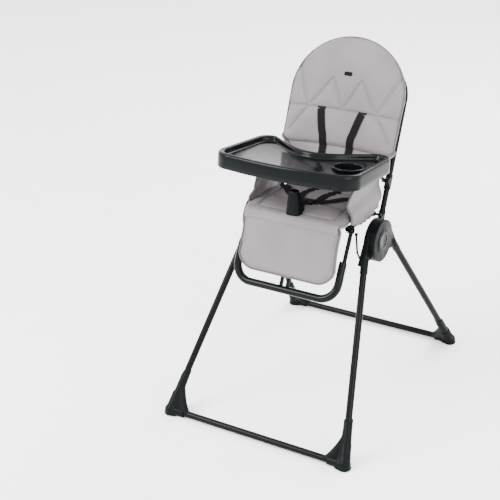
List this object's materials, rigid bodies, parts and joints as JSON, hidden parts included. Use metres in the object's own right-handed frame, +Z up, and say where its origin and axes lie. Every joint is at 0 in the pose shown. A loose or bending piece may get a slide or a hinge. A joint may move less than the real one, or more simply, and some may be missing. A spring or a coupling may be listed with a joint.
{
  "type": "high chair",
  "caption": "Folding baby high chair with splayed tube legs, padded seat and backrest, leg rest, foot bar, harness and a tray with a cup holder.",
  "frame": {"origin": "on the floor, midway between the four feet, under the hub axis", "axes": "+X across the chair, the child faces -Y, +Z up"},
  "size_m": [0.622, 0.8214, 1.0303],
  "materials": {
    "black_tube": "semi-gloss powder coat",
    "black_plastic": "satin moulded",
    "gloss_black": "gloss moulded",
    "cover_fabric": "smooth coated cloth",
    "webbing": "woven",
    "zinc_steel": "plated",
    "foot_rubber": "matt"
  },
  "bodies": {
    "front_frame": {"front_leg_right": "black_tube", "front_leg_left": "black_tube", "front_floor_bar": "black_tube", "front_foot_right": "black_plastic", "front_foot_left": "black_plastic", "front_hub_right": "black_plastic", "front_hub_left": "black_plastic", "hub_pins": "zinc_steel", "front_foot_pads": "foot_rubber"},
    "rear_frame": {"rear_leg_right": "black_tube", "rear_leg_left": "black_tube", "rear_floor_bar": "black_tube", "rear_foot_right": "black_plastic", "rear_foot_left": "black_plastic", "rear_hub_right": "black_plastic", "rear_hub_left": "black_plastic", "rear_foot_pads": "foot_rubber"},
    "button_right": {"hub_button_right": "black_plastic"},
    "button_left": {"hub_button_left": "black_plastic"},
    "link_right": {"fold_link_right": "black_tube"},
    "link_left": {"fold_link_left": "black_tube"},
    "backrest": {"back_bracket_right": "black_plastic", "back_bracket_left": "black_plastic", "back_tube_right": "black_tube", "back_tube_left": "black_tube", "back_tube_top": "black_tube", "back_board": "black_plastic", "back_cushion": "cover_fabric", "tray_joint_right": "black_plastic", "tray_joint_left": "black_plastic", "back_screws": "zinc_steel", "strap_adjusters": "black_plastic", "shoulder_strap_right": "webbing", "shoulder_strap_left": "webbing", "sewn_label": "webbing", "back_sling": "cover_fabric"},
    "seat": {"seat_rail_right": "black_tube", "seat_rail_left": "black_tube", "seat_cross_tube": "black_tube", "seat_board": "black_plastic", "seat_cushion": "cover_fabric", "crotch_post": "black_plastic", "post_cap": "black_plastic", "lap_strap": "webbing", "buckle": "black_plastic", "knee_brackets": "black_plastic", "side_wing_right": "cover_fabric", "side_wing_left": "cover_fabric"},
    "buckle_button": {"buckle_button": "black_plastic"},
    "leg_rest": {"foot_tube_right": "black_tube", "foot_tube_left": "black_tube", "foot_sleeve": "black_plastic", "leg_cushion": "cover_fabric", "leg_board": "black_plastic", "foot_struts": "black_plastic"},
    "tray_carrier": {"tray_arms": "black_tube"},
    "tray": {"tray_shell": "gloss_black"},
    "lever_right": {"tray_lever_right": "black_plastic"},
    "lever_left": {"tray_lever_left": "black_plastic"}
  },
  "joints": [
    {"name": "fold", "type": "hinge", "parent": "front_frame", "child": "rear_frame", "pos_m": [0, 0, 0.522], "axis": [-1, 0, 0], "range_deg": [0, 66.8]},
    {"name": "back_fold", "type": "hinge", "parent": "front_frame", "child": "backrest", "pos_m": [0, 0, 0.522], "axis": [1, 0, 0], "range_deg": [0, 155.1], "deforming": ["back_sling", "side_wing_right", "side_wing_left", "shoulder_strap_right", "shoulder_strap_left", "lap_strap"]},
    {"name": "seat_fold", "type": "hinge", "parent": "backrest", "child": "seat", "pos_m": [0, 0.065, 0.57], "axis": [-1, 0, 0], "range_deg": [0, 53.5]},
    {"name": "leg_rest_fold", "type": "hinge", "parent": "seat", "child": "leg_rest", "pos_m": [0, -0.105, 0.588], "axis": [1, 0, 0], "range_deg": [0, 57.5]},
    {"name": "tray_fold", "type": "hinge", "parent": "backrest", "child": "tray_carrier", "pos_m": [0, 0.11209, 0.65968], "axis": [-1, 0, 0], "range_deg": [0, 39.7]},
    {"name": "tray_slide", "type": "slide", "parent": "tray_carrier", "child": "tray", "axis": [0, -0.991, 0.134], "range_m": [0, 0.04]},
    {"name": "link_right_turn", "type": "hinge", "parent": "front_frame", "child": "link_right", "pos_m": [0, -0.05734, 0.46302], "axis": [1, 0, 0], "range_deg": [0, 164.5]},
    {"name": "link_left_turn", "type": "hinge", "parent": "front_frame", "child": "link_left", "pos_m": [0, -0.05734, 0.46302], "axis": [1, 0, 0], "range_deg": [0, 164.5]},
    {"name": "hub_button_right_press", "type": "slide", "parent": "rear_frame", "child": "button_right", "axis": [-1, 0, 0], "range_m": [0, 0.003], "stiffness_N_per_m": 1500},
    {"name": "hub_button_left_press", "type": "slide", "parent": "rear_frame", "child": "button_left", "axis": [1, 0, 0], "range_m": [0, 0.003], "stiffness_N_per_m": 1500},
    {"name": "buckle_press", "type": "slide", "parent": "seat", "child": "buckle_button", "axis": [0, 0, -1], "range_m": [0, 0.0015], "stiffness_N_per_m": 800},
    {"name": "tray_lever_right_pull", "type": "slide", "parent": "tray", "child": "lever_right", "axis": [-1, 0, 0], "range_m": [0, 0.006], "stiffness_N_per_m": 600},
    {"name": "tray_lever_left_pull", "type": "slide", "parent": "tray", "child": "lever_left", "axis": [1, 0, 0], "range_m": [0, 0.006], "stiffness_N_per_m": 600}
  ],
  "couplings": [
    {"joint": "back_fold", "follows": "fold", "ratio": 2.3144},
    {"joint": "seat_fold", "follows": "fold", "ratio": 0.79341},
    {"joint": "leg_rest_fold", "follows": "fold", "ratio": 0.85329},
    {"joint": "tray_fold", "follows": "fold", "ratio": 0.58683},
    {"joint": "link_right_turn", "follows": "fold", "ratio": 2.4506},
    {"joint": "link_left_turn", "follows": "fold", "ratio": 2.4506}
  ]
}
